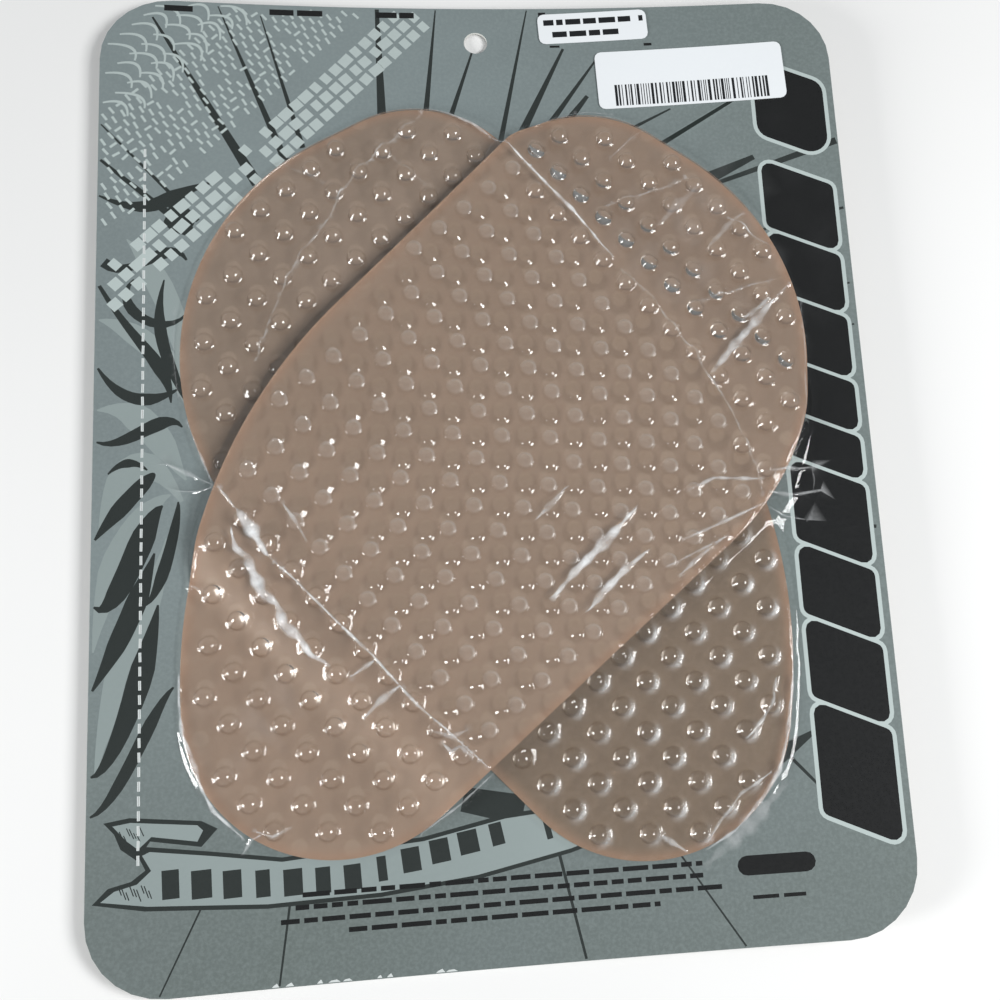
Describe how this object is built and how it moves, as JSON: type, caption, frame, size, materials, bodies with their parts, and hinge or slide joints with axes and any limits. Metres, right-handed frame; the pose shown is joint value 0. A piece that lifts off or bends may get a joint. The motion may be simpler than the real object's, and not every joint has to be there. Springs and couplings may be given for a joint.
{
  "type": "snowboard stomp pad",
  "caption": "Clear studded stick-on traction pads with domed studs, crossed on a printed backing card with a hang hole, under a clear skin film.",
  "frame": {"origin": "centre of the card's back face", "axes": "+Z out of the card's printed face, +Y along the card's long side towards the hang hole, +X to the right as the printed face is read"},
  "size_m": [0.216, 0.2794, 0.0096],
  "materials": {
    "printed_card": "matte",
    "liner": "satin",
    "adhesive": "gloss",
    "clear_pad": "gloss",
    "film": "gloss",
    "sticker": "satin"
  },
  "bodies": {
    "card": {"backing_card": "printed_card"},
    "lower_liner": {"lower_liner": "liner"},
    "lower_pad": {"lower_adhesive": "adhesive", "lower_pad": "clear_pad"},
    "upper_liner": {"upper_liner": "liner"},
    "upper_pad": {"upper_adhesive": "adhesive", "upper_pad": "clear_pad"},
    "film": {"skin_film": "film", "part_label": "sticker", "barcode_label": "sticker"}
  },
  "joints": [
    {"name": "lower_liner_lift", "type": "slide", "parent": "card", "child": "lower_liner", "axis": [0, 0, 1], "range_m": [0, 0.03]},
    {"name": "lower_pad_peel", "type": "slide", "parent": "lower_liner", "child": "lower_pad", "axis": [0, 0, 1], "range_m": [0, 0.03]},
    {"name": "upper_liner_lift", "type": "slide", "parent": "lower_pad", "child": "upper_liner", "axis": [0, 0, 1], "range_m": [0, 0.03]},
    {"name": "upper_pad_peel", "type": "slide", "parent": "upper_liner", "child": "upper_pad", "axis": [0, 0, 1], "range_m": [0, 0.03]},
    {"name": "film_lift", "type": "slide", "parent": "upper_pad", "child": "film", "axis": [0, 0, 1], "range_m": [0, 0.03]}
  ]
}
